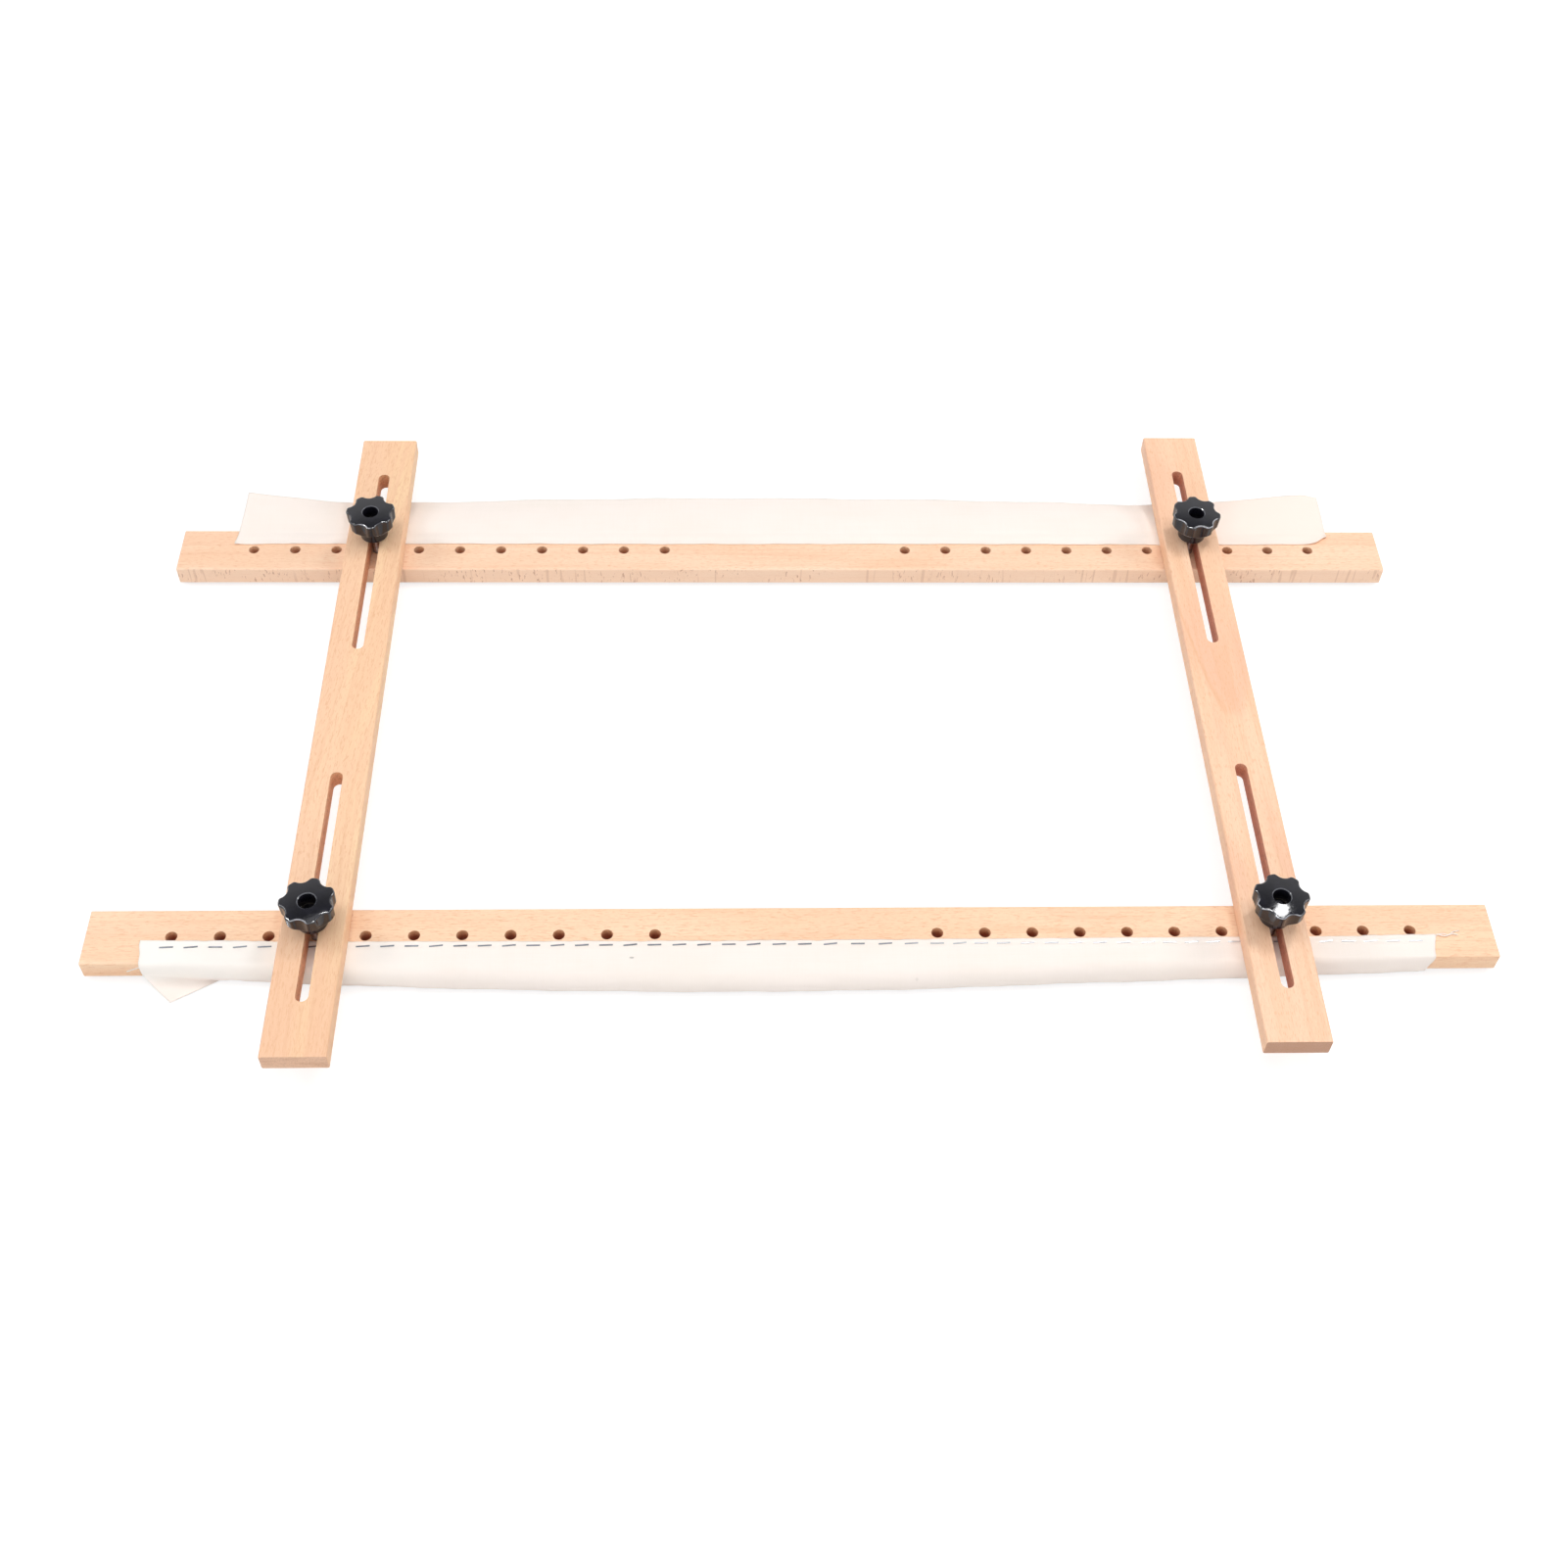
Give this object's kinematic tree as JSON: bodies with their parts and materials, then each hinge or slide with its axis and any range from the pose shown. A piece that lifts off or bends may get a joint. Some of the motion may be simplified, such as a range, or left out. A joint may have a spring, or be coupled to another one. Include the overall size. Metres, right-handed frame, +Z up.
{
  "type": "embroidery frame",
  "caption": "Flat rectangular embroidery frame: drilled wooden rails with stapled canvas strips, slotted side bars and star knobs clamping the corners.",
  "frame": {"origin": "on the table, below the centre of the whole frame's outline", "axes": "+X along the rails to the worker's right, +Y along the side bars away from the worker, +Z up"},
  "size_m": [0.748, 0.4606, 0.0464],
  "materials": {
    "rail_wood": "fine sanded pale beech",
    "bar_wood": "fine sanded pale beech",
    "canvas": "unbleached cotton canvas",
    "staple_steel": "bright wire",
    "bolt_steel": "zinc plated",
    "knob_plastic": "glossy black",
    "bush_brass": "turned"
  },
  "bodies": {
    "front_rail": {"front_rail": "rail_wood", "front_cloth_strip": "canvas", "front_staples": "staple_steel"},
    "front_left_bolt": {"front_left_bolt": "bolt_steel"},
    "left_side_bar": {"left_side_bar": "bar_wood"},
    "back_left_bolt": {"back_left_bolt": "bolt_steel"},
    "back_rail": {"back_rail": "rail_wood", "back_cloth_strip": "canvas", "back_staples": "staple_steel"},
    "back_right_bolt": {"back_right_bolt": "bolt_steel"},
    "front_right_bolt": {"front_right_bolt": "bolt_steel"},
    "right_side_bar": {"right_side_bar": "bar_wood"},
    "front_left_knob_bush": {"front_left_knob_bush": "bush_brass"},
    "front_left_knob": {"front_left_knob": "knob_plastic"},
    "front_right_knob_bush": {"front_right_knob_bush": "bush_brass"},
    "front_right_knob": {"front_right_knob": "knob_plastic"},
    "back_left_knob_bush": {"back_left_knob_bush": "bush_brass"},
    "back_left_knob": {"back_left_knob": "knob_plastic"},
    "back_right_knob_bush": {"back_right_knob_bush": "bush_brass"},
    "back_right_knob": {"back_right_knob": "knob_plastic"}
  },
  "joints": [
    {"name": "frame_rack", "type": "hinge", "parent": "front_rail", "child": "front_left_bolt", "pos_m": [-0.2528, -0.1499, 0], "axis": [0, 0, 1], "range_deg": [-70, 70]},
    {"name": "side_bar_slide", "type": "slide", "parent": "front_left_bolt", "child": "left_side_bar", "axis": [0, 1, 0], "range_m": [-0.097, 0.0395]},
    {"name": "back_rail_slide", "type": "slide", "parent": "left_side_bar", "child": "back_left_bolt", "axis": [0, 1, 0], "range_m": [-0.085, 0.051]},
    {"name": "back_left_rack", "type": "hinge", "parent": "back_left_bolt", "child": "back_rail", "pos_m": [-0.2528, 0.1383, 0], "axis": [0, 0, 1], "range_deg": [-70, 70]},
    {"name": "back_right_rack", "type": "hinge", "parent": "back_rail", "child": "back_right_bolt", "pos_m": [0.2528, 0.1383, 0], "axis": [0, 0, 1], "range_deg": [-70, 70]},
    {"name": "front_right_rack", "type": "hinge", "parent": "front_rail", "child": "front_right_bolt", "pos_m": [0.2528, -0.1499, 0], "axis": [0, 0, 1], "range_deg": [-70, 70]},
    {"name": "right_bar_slide", "type": "slide", "parent": "front_right_bolt", "child": "right_side_bar", "axis": [0, 1, 0], "range_m": [-0.097, 0.0395]},
    {"name": "front_left_knob_rise", "type": "slide", "parent": "front_left_bolt", "child": "front_left_knob_bush", "axis": [0, 0, 1], "range_m": [0, 0.00751]},
    {"name": "front_left_knob_turn", "type": "hinge", "parent": "front_left_knob_bush", "child": "front_left_knob", "pos_m": [-0.2528, -0.1499, 0.026], "axis": [0, 0, 1], "range_deg": [0, 2700]},
    {"name": "front_right_knob_rise", "type": "slide", "parent": "front_right_bolt", "child": "front_right_knob_bush", "axis": [0, 0, 1], "range_m": [0, 0.00751]},
    {"name": "front_right_knob_turn", "type": "hinge", "parent": "front_right_knob_bush", "child": "front_right_knob", "pos_m": [0.2528, -0.1499, 0.026], "axis": [0, 0, 1], "range_deg": [0, 2700]},
    {"name": "back_left_knob_rise", "type": "slide", "parent": "back_left_bolt", "child": "back_left_knob_bush", "axis": [0, 0, 1], "range_m": [0, 0.00751]},
    {"name": "back_left_knob_turn", "type": "hinge", "parent": "back_left_knob_bush", "child": "back_left_knob", "pos_m": [-0.2528, 0.1383, 0.026], "axis": [0, 0, 1], "range_deg": [0, 2700]},
    {"name": "back_right_knob_rise", "type": "slide", "parent": "back_right_bolt", "child": "back_right_knob_bush", "axis": [0, 0, 1], "range_m": [0, 0.00751]},
    {"name": "back_right_knob_turn", "type": "hinge", "parent": "back_right_knob_bush", "child": "back_right_knob", "pos_m": [0.2528, 0.1383, 0.026], "axis": [0, 0, 1], "range_deg": [0, 2700]}
  ],
  "couplings": [
    {"joint": "back_left_rack", "follows": "frame_rack", "ratio": -1},
    {"joint": "back_right_rack", "follows": "frame_rack", "ratio": 1},
    {"joint": "front_right_rack", "follows": "frame_rack", "ratio": 1},
    {"joint": "right_bar_slide", "follows": "side_bar_slide", "ratio": 1},
    {"joint": "front_left_knob_rise", "follows": "front_left_knob_turn", "m_per_rad": 0.00015915},
    {"joint": "front_right_knob_rise", "follows": "front_right_knob_turn", "m_per_rad": 0.00015915},
    {"joint": "back_left_knob_rise", "follows": "back_left_knob_turn", "m_per_rad": 0.00015915},
    {"joint": "back_right_knob_rise", "follows": "back_right_knob_turn", "m_per_rad": 0.00015915}
  ]
}
